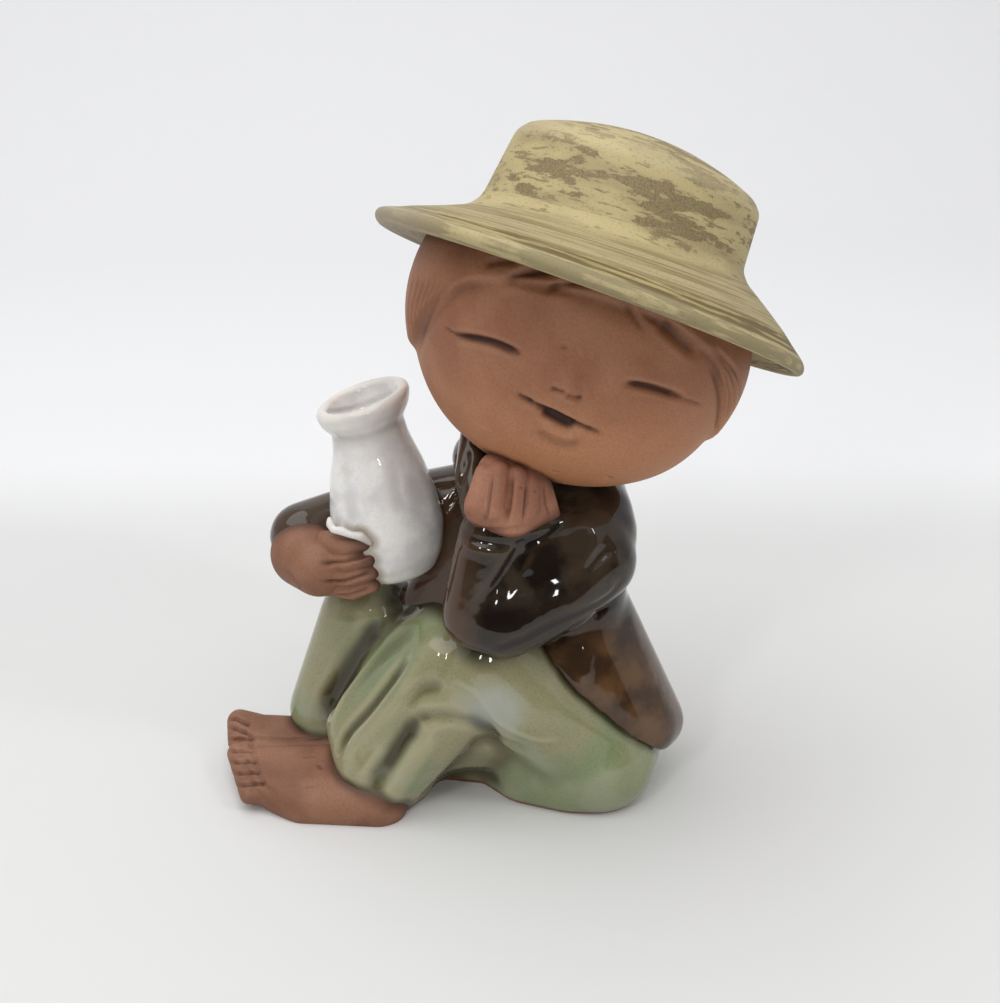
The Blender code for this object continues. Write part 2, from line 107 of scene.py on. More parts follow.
def hull(name, balls):
    bm = bmesh.new()
    for x, y, z, radius in balls:
        bmesh.ops.create_uvsphere(bm, u_segments=BALL_SEGMENTS, v_segments=BALL_RINGS,
                                  radius=radius * MM, matrix=Matrix.Translation(mm(x, y, z)))
    bmesh.ops.delete(bm, geom=bm.edges[:], context="EDGES_FACES")
    done = bmesh.ops.convex_hull(bm, input=bm.verts, use_existing_faces=False)
    loose = {g for g in done["geom_interior"] + done["geom_unused"] if isinstance(g, bmesh.types.BMVert)}
    bmesh.ops.delete(bm, geom=list(loose), context="VERTS")
    bmesh.ops.recalc_face_normals(bm, faces=bm.faces)
    return object_from(name, bm)


def trimmed(obj, at, normal):
    """The solid cut flat: what lies against the normal is cut away, and the cut is closed."""
    bm = bmesh.new()
    bm.from_mesh(obj.data)
    geom = bm.verts[:] + bm.edges[:] + bm.faces[:]
    cut = bmesh.ops.bisect_plane(bm, geom=geom, plane_co=at, plane_no=normal, clear_inner=True)
    rim = [g for g in cut["geom_cut"] if isinstance(g, bmesh.types.BMEdge)]
    bmesh.ops.holes_fill(bm, edges=rim)
    bmesh.ops.recalc_face_normals(bm, faces=bm.faces)
    bm.to_mesh(obj.data)
    bm.free()
    return obj


def joined(name, objects):
    bm = bmesh.new()
    for obj in objects:
        bm.from_mesh(obj.data)
        bpy.data.objects.remove(obj)
    return object_from(name, bm)


def smoothed(obj, rounds):
    """The clay worked over so many times, each time halfway to its neighbours' mean."""
    smooth = obj.modifiers.new("worked_over", "SMOOTH")
    smooth.factor, smooth.iterations = 0.5, rounds
    return settled(obj)


def worked_clay(obj, grain, smoothing):
    """Overlapping closed forms become one skin of that grain in mm, and its joins are smoothed over."""
    remesh = obj.modifiers.new("one_skin", "REMESH")
    remesh.mode = "VOXEL"
    remesh.voxel_size = grain * MM
    smoothed(obj, smoothing)
    print(obj.name, "faces:", len(obj.data.polygons))
    return obj


# %% [markdown]
# Eyes, mouth, hair, fingers, toes and folds are cut into the clay with a tool. A stroke here is
# a smooth line drawn over the clay from one side, with a width and a depth. The clay moves along
# its normals, most in the middle of the stroke, and a negative depth adds clay. Sculpting by
# stroke in code keeps every line editable, which a baked displacement would not.

# %% Carving
def turned(roll=0.0, pitch=0.0, yaw=0.0):
    """Roll leans the top to +X, pitch leans it back to +Y, and yaw turns the front to -X."""
    return (
        Matrix.Rotation(math.radians(roll), 4, "Y")
        @ Matrix.Rotation(math.radians(-pitch), 4, "X")
        @ Matrix.Rotation(math.radians(-yaw), 4, "Z")
    )


HEAD_CENTRE = (21.5, 1.0, 144.0)
FACE_POSE = Matrix.Translation(mm(*HEAD_CENTRE)) @ turned(16.0, 15.0, 5.5)
VIEWS = {
    "face": FACE_POSE,
    "front": Matrix.Identity(4),
    "left": Matrix.Rotation(math.radians(-90), 4, "Z"),
    "right": Matrix.Rotation(math.radians(90), 4, "Z"),
    "back": Matrix.Rotation(math.radians(180), 4, "Z"),
}
PHOTO_MIDDLE = (500.0, 501.5)
PIXELS_AWAY = 2 * PHOTO_MIDDLE[0] * LENS / SENSOR_WIDTH
STANDS_OFF = 300.0
EYE = camera.location.copy()
SIGHT = Matrix.Rotation(math.pi / 2 - down, 3, "X")


def smooth_step(share):
    share = np.clip(share, 0.0, 1.0)
    return share * share * (3.0 - 2.0 * share)


def read(values, attribute):
    """A vector attribute of a mesh collection as an array with one row for each."""
    found = np.empty(len(values) * 3, np.float32)
    values.foreach_get(attribute, found)
    return found.reshape(-1, 3)


def tree_of(*objects):
    bm = bmesh.new()
    for obj in objects:
        bm.from_mesh(obj.data)
    tree = BVHTree.FromBMesh(bm)
    bm.free()
    return tree


def sight(side, right, up):
    """Where a look at the clay starts and its direction, from a side or through a photograph's pixel."""
    if side == "photo":
        return EYE, SIGHT @ Vector((right - PHOTO_MIDDLE[0], PHOTO_MIDDLE[1] - up, -PIXELS_AWAY)).normalized()
    pose = VIEWS[side]
    return pose @ mm(right, -STANDS_OFF, up), pose.to_3x3() @ Vector((0, 1, 0))


def stroke_line(tree, side, points, step=0.5):
    """A Catmull-Rom curve through the points, laid on the clay as seen from that side."""
    ends = [points[0]] + list(points) + [points[-1]]
    laid = []
    for before, start, end, after in zip(ends, ends[1:], ends[2:], ends[3:]):
        p0, p1, p2, p3 = (np.array(p, float) for p in (before, start, end, after))
        for t in np.linspace(0, 1, max(2, int(np.linalg.norm(p2 - p1) / step)), endpoint=False):
            bend = 2 * p1 + (p2 - p0) * t + (2 * p0 - 5 * p1 + 4 * p2 - p3) * t ** 2
            laid.append(0.5 * (bend + (3 * p1 - p0 - 3 * p2 + p3) * t ** 3))
    laid.append(np.array(points[-1], float))
    hits = [tree.ray_cast(*sight(side, right, up))[0] for right, up in laid]
    return np.array([hit for hit in hits if hit is not None])


def write_reading(obj, name, values, kind="FLOAT"):
    """One value for each vertex, kept for the shaders."""
    attribute = obj.data.attributes.new(name, kind, "POINT")
    attribute.data.foreach_set("value" if kind == "FLOAT" else "vector",
                               np.ascontiguousarray(values, np.float32).ravel())


def carved(obj, strokes):
    """Each named stroke is the side, its points, the tool's width and its depth, in millimetres."""
    mesh = obj.data
    points, normals = read(mesh.vertices, "co"), read(mesh.vertex_normals, "vector")
    tree = tree_of(obj)
    push = np.zeros(len(points), np.float32)
    for name, (side, line_points, width, depth) in strokes.items():
        line = stroke_line(tree, side, line_points)
        if len(line) < 2:
            print("a stroke missed", obj.name, name)
            continue
        reach = width * MM
        near = np.flatnonzero(((points > line.min(0) - reach) & (points < line.max(0) + reach)).all(1))
        gaps = np.linalg.norm(points[near, None] - line[None].astype(np.float32), axis=2)
        along = gaps.argmin(1) / (len(line) - 1)
        length = np.linalg.norm(np.diff(line, axis=0), axis=1).sum()
        # A long stroke grows shallow towards both ends, and a short one keeps its depth.
        blunt = 0.25 if length > 3 * reach else 1.0
        taper = np.clip(4 * np.minimum(along, 1 - along) + blunt, 0, 1)
        push[near] += depth * MM * taper * smooth_step(1 - gaps.min(1) / reach)
    points -= normals * push[:, None]
    mesh.vertices.foreach_set("co", points.ravel())
    mesh.update()
    write_reading(obj, "cut", push / MM)
    return obj


def fanned(name, side, first, last, count, width, depth):
    """Strokes spread evenly from one guide line to another with as many points."""
    strokes = {}
    for i, share in enumerate(np.linspace(0, 1, count)):
        points = [(a[0] + (b[0] - a[0]) * share, a[1] + (b[1] - a[1]) * share) for a, b in zip(first, last)]
        strokes[f"{name}_{i + 1}"] = (side, points, width, depth)
    return strokes


# %% [markdown]
# The hat was turned with the rest of the model: a crown with a slightly domed top and a brim
# that falls away all round. It is a closed profile of (radius, height) pairs turned about the
# hat's own axis with a Screw modifier, and then leaned a little, because it was modelled by hand.

# %% Hat
HAT_POSE = Matrix.Translation(mm(28.2, 0.0, 166.0)) @ turned(16.5, 17.5)
CROWN_BASE_R, CROWN_TOP_R, CROWN_HEIGHT, CROWN_DOME = 37.5, 34.0, 22.6, 8.0
CROWN_LEAN, CROWN_TILT = 2.8, 4.0
BRIM_R, BRIM_SHIFT, BRIM_DROP, BRIM_THICKNESS, BRIM_SKEW = 60.4, -1.2, 12.6, 4.4, 5.0
HAT_DEPTH = 7.0
BRUSH_R = 40.0
WELD = 0.01 * MM


def arc(centre, radius, start, end, count):
    """Points on an arc, as (radius, height) pairs; angles in degrees from +radius towards +height."""
    angles = np.radians(np.linspace(start, end, count))
    return [(centre[0] + radius * math.cos(a), centre[1] + radius * math.sin(a)) for a in angles]


def evenly(points, step):
    """The same outline with a point every so many millimetres."""
    out = []
    for (r0, z0), (r1, z1) in zip(points, points[1:]):
        count = max(1, round(math.hypot(r1 - r0, z1 - z0) / step))
        out += [(r0 + (r1 - r0) * t / count, z0 + (z1 - z0) * t / count) for t in range(count)]
    return out + [points[-1]]


def turned_profile(name, points, steps):
    """A profile of (radius, height) pairs, turned about Z by a Screw modifier, as a mesh."""
    bm = bmesh.new()
    rim = [bm.verts.new(mm(r, 0, z)) for r, z in points]
    for a, b in zip(rim, rim[1:]):
        bm.edges.new((a, b))
    obj = object_from(name, bm)
    screw = obj.modifiers.new("turn", "SCREW")
    screw.steps = screw.render_steps = steps
    screw.use_merge_vertices = True
    screw.merge_threshold = WELD
    settled(obj)
    bm = bmesh.new()
    bm.from_mesh(obj.data)
    bmesh.ops.remove_doubles(bm, verts=bm.verts, dist=WELD)
    bmesh.ops.recalc_face_normals(bm, faces=bm.faces)
    bm.to_mesh(obj.data)
    bm.free()
    return obj


half_brim = BRIM_THICKNESS / 2
crown = [(CROWN_TOP_R * s, CROWN_HEIGHT + CROWN_DOME * (1 - s * s)) for s in np.linspace(0, 0.93, 9)]
crown += [(CROWN_TOP_R, CROWN_HEIGHT - 1.5), (CROWN_BASE_R - 1.5, 4.0), (CROWN_BASE_R + 1.0, 0.8)]
crown += [(BRIM_R - 8.0, -6.6), (BRIM_R - 5.0, -8.6)]
crown += arc((BRIM_R - half_brim, -BRIM_DROP), half_brim, 60, -120, 9)
crown += [(CROWN_BASE_R - 2.0, -HAT_DEPTH), (0.0, -HAT_DEPTH)]
hat = turned_profile("hat", evenly(crown, step=0.9), steps=400)

# The brush's path over each point: the way round, on a circle of one radius, and the way up from
# the crown's foot, which falls below nought on the brim.
flat = read(hat.data.vertices, "co") / MM
radius = np.hypot(flat[:, 0], flat[:, 1])
along = np.where(radius > CROWN_BASE_R - 1.6, CROWN_BASE_R - radius, flat[:, 2])
on_top = (flat[:, 2] > CROWN_HEIGHT - 1.5) & (radius < CROWN_TOP_R)
along = np.where(on_top, CROWN_HEIGHT + CROWN_TOP_R - radius, along)
around = flat[:, :2] / np.maximum(radius, 0.01)[:, None] * BRUSH_R
write_reading(hat, "brushed", np.column_stack([around, along]), "FLOAT_VECTOR")

# The lean of a hat modelled by hand: the crown shifts and tilts, and one side of the brim drops.
for v in hat.data.vertices:
    out = max(math.hypot(v.co.x, v.co.y) / MM - CROWN_BASE_R, 0) / (BRIM_R - CROWN_BASE_R)
    up = max(v.co.z / MM, 0) / CROWN_HEIGHT
    v.co.z -= v.co.x * math.tan(math.radians(CROWN_TILT)) * min(up, 1)
    v.co.z -= BRIM_SKEW * out * v.co.x / BRIM_R
    v.co.x += (CROWN_LEAN * up + BRIM_SHIFT * out) * MM
hat.data.transform(HAT_POSE)
smoothed(hat, rounds=12)
print("hat faces:", len(hat.data.polygons))

# %% [markdown]
# The head is an egg that droops to one cheek. The hair is a layer a little thicker than the
# face, so the ball is raised wherever it lies outside a rounded window. Remeshing afterwards
# gives the face an even grid, fine enough for the tool marks.

# %% Head
HEAD_RADII = (48.3, 41.8, 42.5)
HEAD_POSE = Matrix.Translation(mm(*HEAD_CENTRE)) @ turned(27.0, 15.0)
HEAD_SEGMENTS, HEAD_RINGS = 320, 240
HAIR_RISE, HAIR_EDGE = 1.6, 2.2
FACE_HALF_WIDTH, FACE_TEMPLE, FACE_TOP = 41.5, -16.0, 9.0
WINDOW_SQUARENESS = 2.5
HAIR_BEHIND = 4.0
CHIN_TOP, CHIN_FADE = -14.0, 20.0


def hair_share(points):
    """How much of the hair's thickness each point carries: 0 on the face, 1 on the hair."""
    turn = np.array(FACE_POSE.inverted())
    local = (points @ turn[:3, :3].T + turn[:3, 3]) / MM
    across = np.abs(local[:, 0]) / FACE_HALF_WIDTH
    above = np.maximum(local[:, 2] - FACE_TEMPLE, 0) / (FACE_TOP - FACE_TEMPLE)
    out = (across ** WINDOW_SQUARENESS + above ** WINDOW_SQUARENESS) ** (1 / WINDOW_SQUARENESS)
    beyond = (out - 1) * FACE_HALF_WIDTH
    behind = local[:, 1] - HAIR_BEHIND
    chin = smooth_step((CHIN_TOP - local[:, 2]) / CHIN_FADE)
    return np.maximum(smooth_step(np.maximum(beyond, behind) / HAIR_EDGE + 0.5), chin)


bm = bmesh.new()
bmesh.ops.create_uvsphere(bm, u_segments=HEAD_SEGMENTS, v_segments=HEAD_RINGS, radius=1.0)
bmesh.ops.scale(bm, vec=[(radius - HAIR_RISE) * MM for radius in HEAD_RADII], verts=bm.verts)
bmesh.ops.transform(bm, matrix=HEAD_POSE, verts=bm.verts)
bm.normal_update()
for v, rise in zip(bm.verts, hair_share(np.array([v.co for v in bm.verts]))):
    v.co += v.normal * HAIR_RISE * MM * rise
head = object_from("head", bm)
trimmed(head, HAT_POSE @ mm(0, 0, 0.5 - HAT_DEPTH), HAT_POSE.to_3x3() @ Vector((0, 0, -1)))
worked_clay(head, grain=0.58, smoothing=3)
FACE_STROKES = {
    "left_eye_corner": ("photo", [(444, 327), (450, 332), (458, 336.5), (466, 337.5)], 0.9, 0.7),
    "left_eye": ("photo", [(456, 336.5), (468, 338.5), (482, 341),
                           (496, 345), (510, 351), (520, 356)], 1.9, 2.1),
    "right_eye": ("photo", [(626, 384), (638, 386), (652, 389), (668, 394), (680, 398)], 1.7, 1.9),
    "right_eye_corner": ("photo", [(676, 396.5), (688, 401), (702, 405.5)], 0.9, 0.6),
    "nose": ("photo", [(567, 386), (570, 390)], 6.0, -1.9),
    "left_nostril": ("photo", [(554, 389.5), (562, 391)], 1.5, 1.3),
    "right_nostril": ("photo", [(569, 395.5), (578, 398.5)], 1.7, 1.5),
    "nose_side": ("photo", [(581, 388), (582, 396)], 2.4, 0.5),
    "mouth_left_corner": ("photo", [(519, 397), (523, 400), (528, 402)], 1.8, 0.8),
    "mouth_line": ("photo", [(521, 398), (533, 405), (545, 410.5), (560, 417),
                             (576, 425), (590, 431), (598, 433.5)], 1.5, 1.4),
    "mouth_opening": ("photo", [(541, 412), (550, 417.5), (562, 424), (574, 429)], 2.4, 2.8),
    "lower_lip": ("photo", [(543, 425), (553, 431), (566, 435.5), (578, 435.5)], 3.0, -0.8),
    "under_lip": ("photo", [(534, 431), (552, 443), (568, 447), (582, 442)], 3.6, 0.9),
    "mouth_right_corner": ("photo", [(590, 430), (598, 434.5)], 1.8, 0.5),
    "under_nose": ("photo", [(553, 405), (560, 409)], 2.0, 0.4),
    "temple_hairline": ("photo", [(418, 364), (422, 341), (432, 321), (447, 304),
                                  (461, 290), (478, 285), (493, 285)], 2.8, 0.7),
    "fringe_lock_1": ("photo", [(506, 281), (520, 275.5), (538, 272), (556, 271)], 2.3, 1.5),
    "fringe_lock_2": ("photo", [(547, 291), (560, 286), (574, 284), (590, 285)], 1.7, 1.0),
    "fringe_lock_3": ("photo", [(484, 266), (500, 262), (520, 261)], 2.0, 1.0),
    "fringe_edge": ("photo", [(498, 284), (518, 290.5), (545, 297), (575, 300)], 2.4, -0.5),
    "parting_1": ("photo", [(622, 296), (631, 313), (642, 329)], 1.4, 0.5),
    "parting_2": ("photo", [(637, 306), (648, 317), (659, 325)], 1.3, 0.6),
    "right_lock": ("photo", [(658, 322), (672, 336), (686, 348), (696, 354.5)], 3.2, 1.2),
    "right_lock_edge": ("photo", [(632, 300), (650, 324), (672, 344), (694, 361)], 2.6, -0.5),
    "right_hairline": ("photo", [(711, 366), (718, 385), (720, 408), (715, 432), (708, 446)], 1.8, 1.0),
    "brow_pit": ("photo", [(563, 348), (566, 349)], 0.9, 0.5),
    "chin_pit_1": ("photo", [(553, 472), (557, 472.6)], 1.0, 0.8),
    "chin_pit_2": ("photo", [(606, 477), (611, 478.6)], 0.9, 0.8),
    "cheek_grain": ("photo", [(484, 429), (490, 431)], 1.5, -0.3),
}
FACE_STROKES |= fanned("left_hair", "photo", [(414, 277), (408.5, 307), (409.5, 335), (413, 352)],
                       [(455, 277), (436, 304), (423, 331), (419, 350)], 8, 1.1, 0.6)
FACE_STROKES |= fanned("right_hair", "photo", [(700, 350), (718, 372), (726, 400), (722, 425)],
                       [(716, 350), (736, 374), (739, 395), (731, 425)], 4, 1.1, 0.7)
FACE_STROKES |= fanned("back_hair", "back", [(-68, 150), (-64, 130), (-50, 108)],
                       [(24, 164), (20, 134), (4, 108)], 17, 1.5, 0.5)
FACE_STROKES |= fanned("left_side_hair", "left", [(-34, 162), (-31, 136), (-22, 112)],
                       [(-2, 166), (-4, 142), (-8, 120)], 8, 1.4, 0.45)
FACE_STROKES |= fanned("right_side_hair", "right", [(34, 146), (31, 124), (22, 106)],
                       [(2, 140), (4, 120), (8, 106)], 7, 1.4, 0.45)
carved(head, FACE_STROKES)

# %% [markdown]
# The jug was thrown as a shape of its own and pressed against the knee. It is another turned
# profile, with a real inside, because the photograph looks down into its mouth.

# %% Jug
JUG_POSE = Matrix.Translation(mm(-30.2, 6.0, 67.5)) @ turned(-9.0)
JUG_HEIGHT, JUG_BODY_R, JUG_NECK_R, JUG_MOUTH_R = 55.5, 16.5, 10.4, 13.7
JUG_MOUTH_TILT, JUG_WALL, JUG_LIP_R = 9.0, 2.4, 1.9
throat = JUG_NECK_R - JUG_WALL
shoulder = (JUG_BODY_R + JUG_NECK_R) / 2 + 0.2
outside = [
    (JUG_MOUTH_R - 0.7, JUG_HEIGHT - 4.8), (JUG_NECK_R, JUG_HEIGHT - 8.6), (JUG_NECK_R + 0.8, 41),
    (shoulder, 33), (JUG_BODY_R - 0.8, 23), (JUG_BODY_R, 15), (JUG_BODY_R - 0.8, 7.5),
    (JUG_BODY_R - 3.3, 2.5), (JUG_BODY_R - 7.5, 0), (0, 0),
]
inside = [
    (0, JUG_WALL + 1), (JUG_BODY_R - JUG_WALL - 4, 6.0), (JUG_BODY_R - JUG_WALL, 14),
    (JUG_BODY_R - JUG_WALL - 0.8, 24), (throat + 1.0, 38), (throat, JUG_HEIGHT - 9.0),
    (throat + 0.9, JUG_HEIGHT - 5.0),
]
lip = arc((JUG_MOUTH_R - JUG_LIP_R, JUG_HEIGHT - JUG_LIP_R), JUG_LIP_R, 175, -20, 16)
jug = turned_profile("jug", evenly(inside + lip + outside, step=0.7), steps=240)
for v in jug.data.vertices:
    v.co.z += v.co.x * math.tan(math.radians(JUG_MOUTH_TILT)) * (v.co.z / (JUG_HEIGHT * MM)) ** 3
jug.data.transform(JUG_POSE)
smoothed(jug, rounds=12)
print("jug faces:", len(jug.data.polygons))
JUG_STROKES = {
    "side_ridge": ("photo", [(381, 458), (387, 482), (393, 508)], 4.0, -0.6),
    "left_flat": ("front", [(-43, 106), (-43, 96), (-41, 88)], 6.0, 0.8),
    "right_flat": ("front", [(-24, 104), (-22, 92)], 6.0, 0.4),
    "lip_line": ("photo", [(324, 412), (340, 411.5), (357, 408.5), (374, 402.5), (391, 394)], 0.8, 0.5),
}
carved(jug, JUG_STROKES)

# %% [markdown]
# Where the white glaze met the bare thumb it gathered in a thick, lumpy roll. It is a chain of
# short hulls, one for each step along the glaze's edge.

# %% Roll of white glaze over the thumb
GLAZE_EDGE = [
    (-48.2, -5.4, 89.4, 0.7), (-48.0, -6.2, 88.2, 1.2), (-47.0, -7.4, 86.9, 1.0), (-44.6, -8.6, 87.2, 1.3),
    (-41.9, -9.6, 86.4, 1.0), (-39.1, -10.0, 86.2, 1.4), (-36.4, -10.0, 84.2, 1.0),
]
glaze_roll = joined("glaze_roll", [hull("step", pair) for pair in zip(GLAZE_EDGE, GLAZE_EDGE[1:])])
worked_clay(glaze_roll, grain=0.3, smoothing=10)

# %% [markdown]
# The trousers are one soft mass: two bent legs, the seat, and the clay that fills the gap
# between them, so that the mould could open. The folds are shallow valleys and ridges.

# %% Trousers
TROUSERS = {
    "seat": [(29, -8, 13, 18), (29, 14, 13, 18), (22, 4, 32, 18), (35, 3, 12, 15), (22, -9.5, 8, 13.5)],
    "near_thigh": [(24, -8, 20, 17), (-3, -15, 49, 13), (8, -14, 36, 15)],
    "near_calf": [(-14, -14, 38, 12), (4, -13, 38, 13), (-4, -15, 45, 13)],
    "near_shin": [(-4, -15, 48, 13), (-34, -13, 12, 13.5)],
    "drape": [(-18, -3, 54, 8), (-46, -2, 20, 7), (-40, -14, 12, 9), (-16, -13, 49, 10)],
    "far_thigh": [(24, 15, 20, 16), (-38, 15, 50, 12)],
    "far_shin": [(-42, 15, 49, 12.5), (-54, 15, 15, 12)],
    "web": [(-28, 7, 4, 9), (14, 6, 4, 11), (-6, 4, 28, 13), (-26, 4, 26, 10)],
    "web_near": [(-4, -6, 36, 13), (-18, -5, 29, 12), (10, -5, 29, 13)],
    "web_far": [(-10, 13, 34, 12), (-38, 13, 26, 11), (10, 13, 26, 13)],
    "lap": [(0, -6, 44, 12), (-30, 8, 47, 11), (18, 6, 34, 16)],
    "between_knees": [(-22, 2, 50, 10), (-42, 5, 24, 9), (-10, 0, 50, 10), (-30, 2, 24, 9)],
    "arch": [(-18, 5, 12, 12), (4, 4, 12, 12), (-18, -6, 26, 12), (4, -7, 26, 12), (-18, 9, 2, 12),
             (2, 9, 2, 12)],
    "shin_foot": [(-35, -13, 4, 10.5), (-24, 0, 6, 10), (-30, -12, 20, 12)],
    "seat_foot": [(22, -9.5, 8, 13.5), (8, -8, 5, 9), (2, -2, 5, 9), (12, -8, 24, 13)],
    "valley": [(-36, 9, 50, 10), (-48, 10, 20, 9), (-36, 2, 22, 9)],
}
trousers = joined("trousers", [hull(name, balls) for name, balls in TROUSERS.items()])
worked_clay(trousers, grain=0.7, smoothing=60)
TROUSERS_STROKES = {
    "valley_between_legs": ("photo", [(382, 616), (367, 638), (354, 658),
                                      (340, 683), (329, 704), (324, 722)], 6.0, 2.6),
    "drape_ridge": ("photo", [(424, 612), (394, 636), (367, 667), (345, 698), (332, 728)], 3.4, -1.0),
    "drape_fold": ("photo", [(407, 657), (389, 682), (369, 708), (348, 732), (337, 756)], 2.8, 1.5),
    "shin_ridge": ("photo", [(420, 662), (402, 696), (376, 726), (354, 754), (345, 779)], 4.4, -0.8),
    "shin_hollow": ("photo", [(419, 722), (403, 738), (389, 760), (377, 780), (370, 790)], 5.6, 2.6),
    "knee_crease": ("photo", [(406, 722), (424, 716.5), (448, 716),
                              (473, 722), (492, 734), (500, 752)], 3.6, 1.0),
    "shin_swell": ("photo", [(434, 734), (418, 760), (400, 788), (389, 808)], 5.0, -0.9),
    "knee_dip": ("photo", [(446, 690), (420, 690), (404, 706)], 4.0, 0.6),
    "glaze_run": ("photo", [(454, 679), (473, 690), (485, 705), (498, 721),
                            (516, 731.5), (538, 739), (556, 739)], 1.3, -0.7),
    "thigh_dip": ("photo", [(470, 700), (478, 716), (500, 738), (530, 750)], 4.0, 0.5),
    "arch_slope": ("photo", [(440, 784), (457, 777), (475, 774), (490, 778)], 7.0, 1.6),
}
carved(trousers, TROUSERS_STROKES)
smoothed(trousers, rounds=8)
trimmed(trousers, mm(0, 0, 0), (0, 0, 1))

# %% [markdown]
# The jacket goes over the trousers: chest, two sleeves and a skirt that flares over the seat.
# The skirt is cut off along a sloping plane, which leaves the hem as an edge over the trousers.

# %% Jacket
JACKET = {
    "chest": [(20, 1, 58, 17), (21, 5, 84, 17), (2, 4, 98, 13), (2, 3, 64, 16)],
    "collar": [(-5, 7, 103, 9), (6, -8, 100, 8), (28, -4, 90, 10), (26, 14, 92, 10), (6, 16, 98, 9)],
    "shoulders": [(26, -7, 86, 13), (8, 14, 88, 12), (25, 9, 86, 12)],
    "sleeve_low": [(-7, -24, 68.5, 9.5), (2, -26, 66.5, 9.5), (16, -22, 74, 11), (26, -14, 81, 12.5)],
    "near_forearm": [(-7, -24, 69, 9.5), (-3, -21, 92, 8.5), (2, -21, 93, 8)],
    "cuff": [(-3, -21, 93, 8), (9, -19, 93, 8), (14, -16, 92, 8)],
    "sleeve_filled": [(-3, -20, 74, 9.5), (3, -19, 90, 8.5), (15, -17, 87, 10.5), (24, -12, 86, 12.5),
                      (16, -20, 78, 10)],
    "far_upper_arm": [(0, 16, 88, 11), (-28, 21, 82, 9.5), (-48, 18, 78, 9.5)],
    "far_forearm": [(-48, 18, 78, 9.5), (-58, 10, 77, 10)],
    "jacket_lap": [(-22, 8, 55, 9), (4, 0, 60, 14), (-6, 6, 80, 10)],
    "neck": [(12, 4, 98, 13), (18, 2, 112, 15)],
    "lapel": [(-6, 2, 112, 5.5), (-8, -8, 103, 5), (-6, -14, 96, 5)],
}
SKIRT = [(23.5, 4, 54, 16), (47, 0, 20, 9), (45, 12, 20, 9), (20, -7, 40, 15), (20, 15, 40, 15),
         (34, -7.5, 26, 13), (34, 15, 26, 13), (42, -4.5, 22, 11.5), (41, 14.5, 22, 11.5), (22, -3, 50, 15),
         (22, 11, 50, 15)]
HEM_AT = (32.0, 4.0, 31.5)
HEM_SLOPE = math.radians(45.0)
skirt = trimmed(hull("skirt", SKIRT), mm(*HEM_AT), (math.sin(HEM_SLOPE), 0, math.cos(HEM_SLOPE)))
jacket = joined("jacket", [hull(name, balls) for name, balls in JACKET.items()] + [skirt])
worked_clay(jacket, grain=0.6, smoothing=80)
JACKET_STROKES = {
    "elbow_crease": ("photo", [(528, 545), (521, 551), (516, 560),
                               (506, 576), (497, 589), (491, 600)], 3.6, 1.9),
    "cuff_line": ("photo", [(463, 529), (470, 538), (484, 542.5), (505, 545),
                            (524, 543), (546, 535), (562, 525)], 1.8, 0.7),
    "cuff_roll": ("photo", [(461, 537), (469, 546), (485, 551), (500, 552)], 3.0, -0.5),
    "upper_fold": ("photo", [(571, 524), (588, 527), (592, 537),
                             (589, 553), (583, 567), (574, 580)], 4.0, -0.8),
    "upper_crease": ("photo", [(611, 548), (603, 553), (594, 562), (582, 576)], 2.6, 0.9),
    "underarm_line": ("photo", [(621, 579), (608, 596), (580, 612),
                                (549, 626), (523, 640), (495, 650)], 1.8, 0.7),
    "underarm_crease": ("photo", [(612, 603), (584, 621), (562, 636), (534, 651), (514, 656)], 2.2, 1.2),
    "lapel_crease": ("photo", [(469, 452), (461, 480), (455, 500), (450, 512)], 1.8, 1.2),
    "skirt_ridge": ("photo", [(588, 644), (586, 660), (585, 680)], 3.0, -0.5),
}
carved(jacket, JACKET_STROKES)
smoothed(jacket, rounds=10)

# %% [markdown]
# Hands and feet are bare clay. Fingers and toes are only grooves cut between soft rolls.

# %% Hands and feet
FIST = {
    "palm": [(-3.4, -23.5, 101.3, 6.4), (3, -24.5, 100.3, 7.2), (14.2, -20.5, 98.0, 2.2),
             (-0.6, -20, 110, 5.6), (6.8, -19, 109, 6.2)],
    "finger_1": [(-4.0, -23.2, 111.0, 2.8), (-6.6, -26.4, 102.8, 3.0)],
    "finger_2": [(0, -24.6, 112, 3.0), (-1.6, -28.6, 103, 3.4)],
    "finger_3": [(4.7, -24.6, 111.4, 2.7), (3.7, -28.4, 103.2, 3.1)],
    "finger_4": [(8.2, -23.2, 109.0, 2.5), (7.8, -26.2, 102.4, 2.9)],
}
FAR_HAND = {
    "palm": [(-57, 4, 74, 10), (-52, -2, 73, 9)],
    "finger_1": [(-50, -2.5, 81, 3.2), (-44, -7.2, 81.8, 2.8), (-38.2, -8.2, 83.4, 2.4)],
    "finger_2": [(-50, -3.5, 76.5, 3.2), (-43.5, -8.6, 77.2, 2.6), (-37.2, -8.4, 78.6, 2.4)],
    "finger_3": [(-50, -3.8, 71.8, 3.2), (-43, -9.2, 72.6, 2.6), (-36.6, -8.2, 74.2, 2.4)],
    "finger_4": [(-49, -3.2, 67.4, 3.2), (-42, -7.8, 67.8, 2.6), (-36.6, -6.8, 69.4, 2.4)],
}
